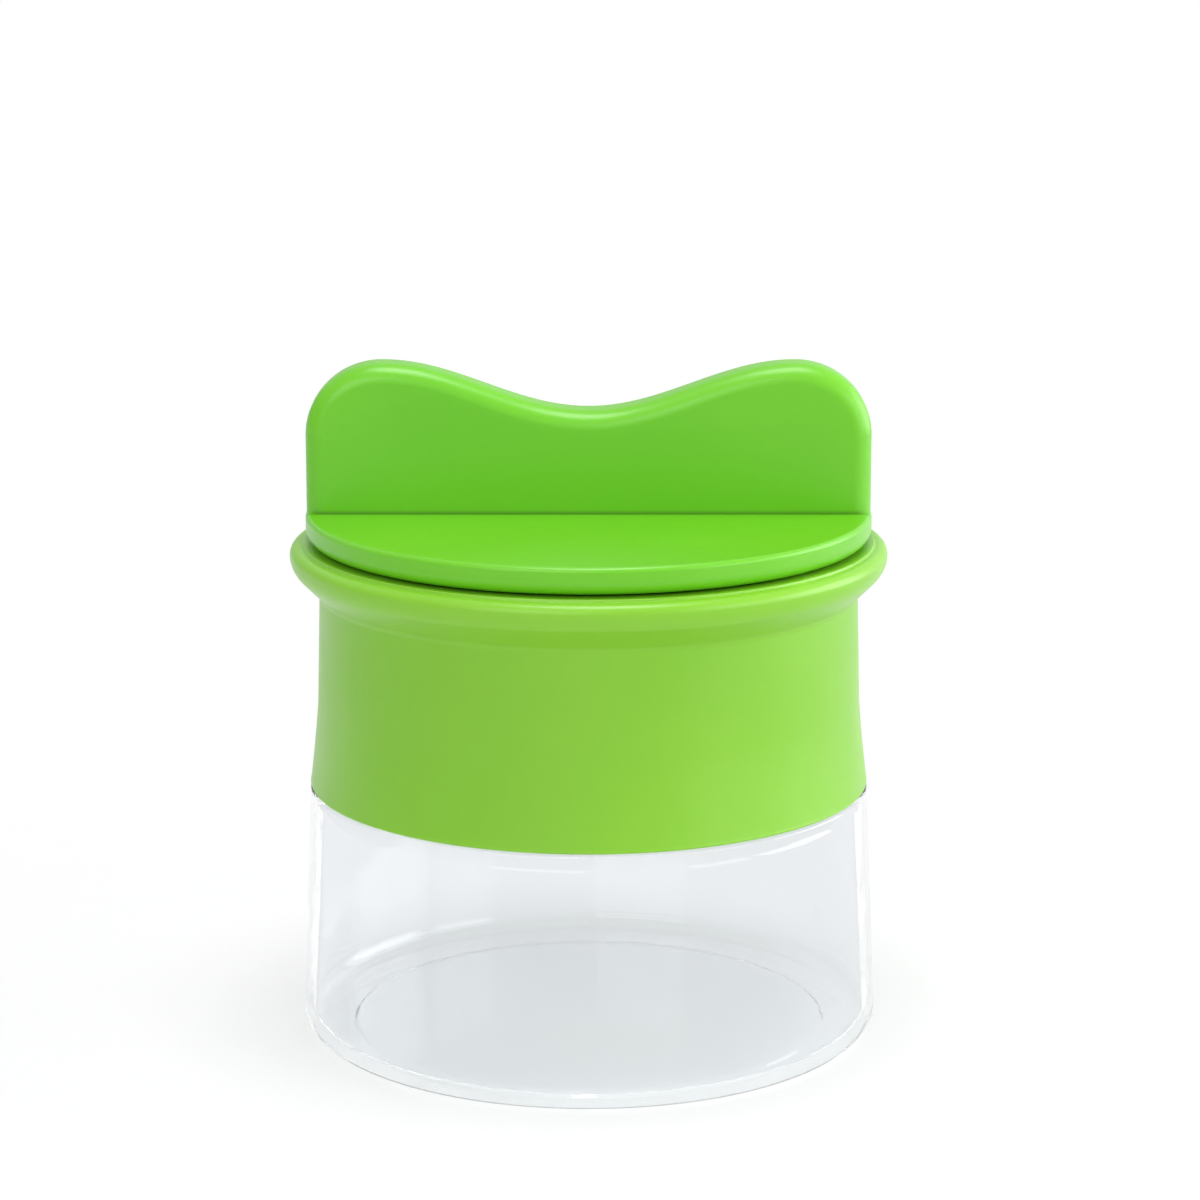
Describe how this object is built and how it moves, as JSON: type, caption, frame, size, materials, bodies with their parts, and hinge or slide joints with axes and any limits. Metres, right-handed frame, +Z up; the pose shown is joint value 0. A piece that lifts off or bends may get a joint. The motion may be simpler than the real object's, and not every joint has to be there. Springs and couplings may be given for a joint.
{
  "type": "spiralizer",
  "caption": "Hand-twisted vegetable spiralizer: winged food grip seated in a round cutter body with a helical blade plate, standing on a clear container.",
  "frame": {"origin": "centre of the container's base, on the surface it stands on", "axes": "+Z up along the turning axis; the grip's wing lies along X at rest; +X points along the slicing blade from the axis"},
  "size_m": [0.0952, 0.0952, 0.1089],
  "materials": {
    "clear_plastic": "polished clear",
    "body_green": "satin moulded",
    "plate_green": "satin moulded",
    "grip_green": "satin moulded",
    "holder_green": "satin moulded",
    "blade_steel": "fine ground",
    "rivet_steel": "smooth",
    "screw_zinc": "zinc plated"
  },
  "bodies": {
    "container_body": {"container": "clear_plastic"},
    "cutter": {"cutter_body": "body_green", "blade_plate": "plate_green", "slicing_blade": "blade_steel", "slitting_comb": "blade_steel", "coring_tube": "blade_steel", "blade_rivet_1": "rivet_steel", "blade_rivet_2": "rivet_steel", "comb_rivet_1": "rivet_steel", "comb_rivet_2": "rivet_steel", "plate_screw_1": "screw_zinc", "plate_screw_2": "screw_zinc", "plate_screw_3": "screw_zinc"},
    "spike": {"centre_spike": "blade_steel"},
    "grip": {"grip_cap": "grip_green", "food_holder": "holder_green", "holder_screw_1": "screw_zinc", "holder_screw_2": "screw_zinc", "holder_screw_3": "screw_zinc", "holder_screw_4": "screw_zinc"}
  },
  "joints": [
    {"name": "cutter_lift", "type": "slide", "parent": "container_body", "child": "cutter", "axis": [0, 0, 1], "range_m": [0, 0.05]},
    {"name": "cap_lift", "type": "slide", "parent": "cutter", "child": "spike", "axis": [0, 0, 1], "range_m": [0, 0.0438]},
    {"name": "cap_turn", "type": "hinge", "parent": "spike", "child": "grip", "pos_m": [0, 0, 0.0805], "axis": [0, 0, 1], "continuous": true}
  ]
}
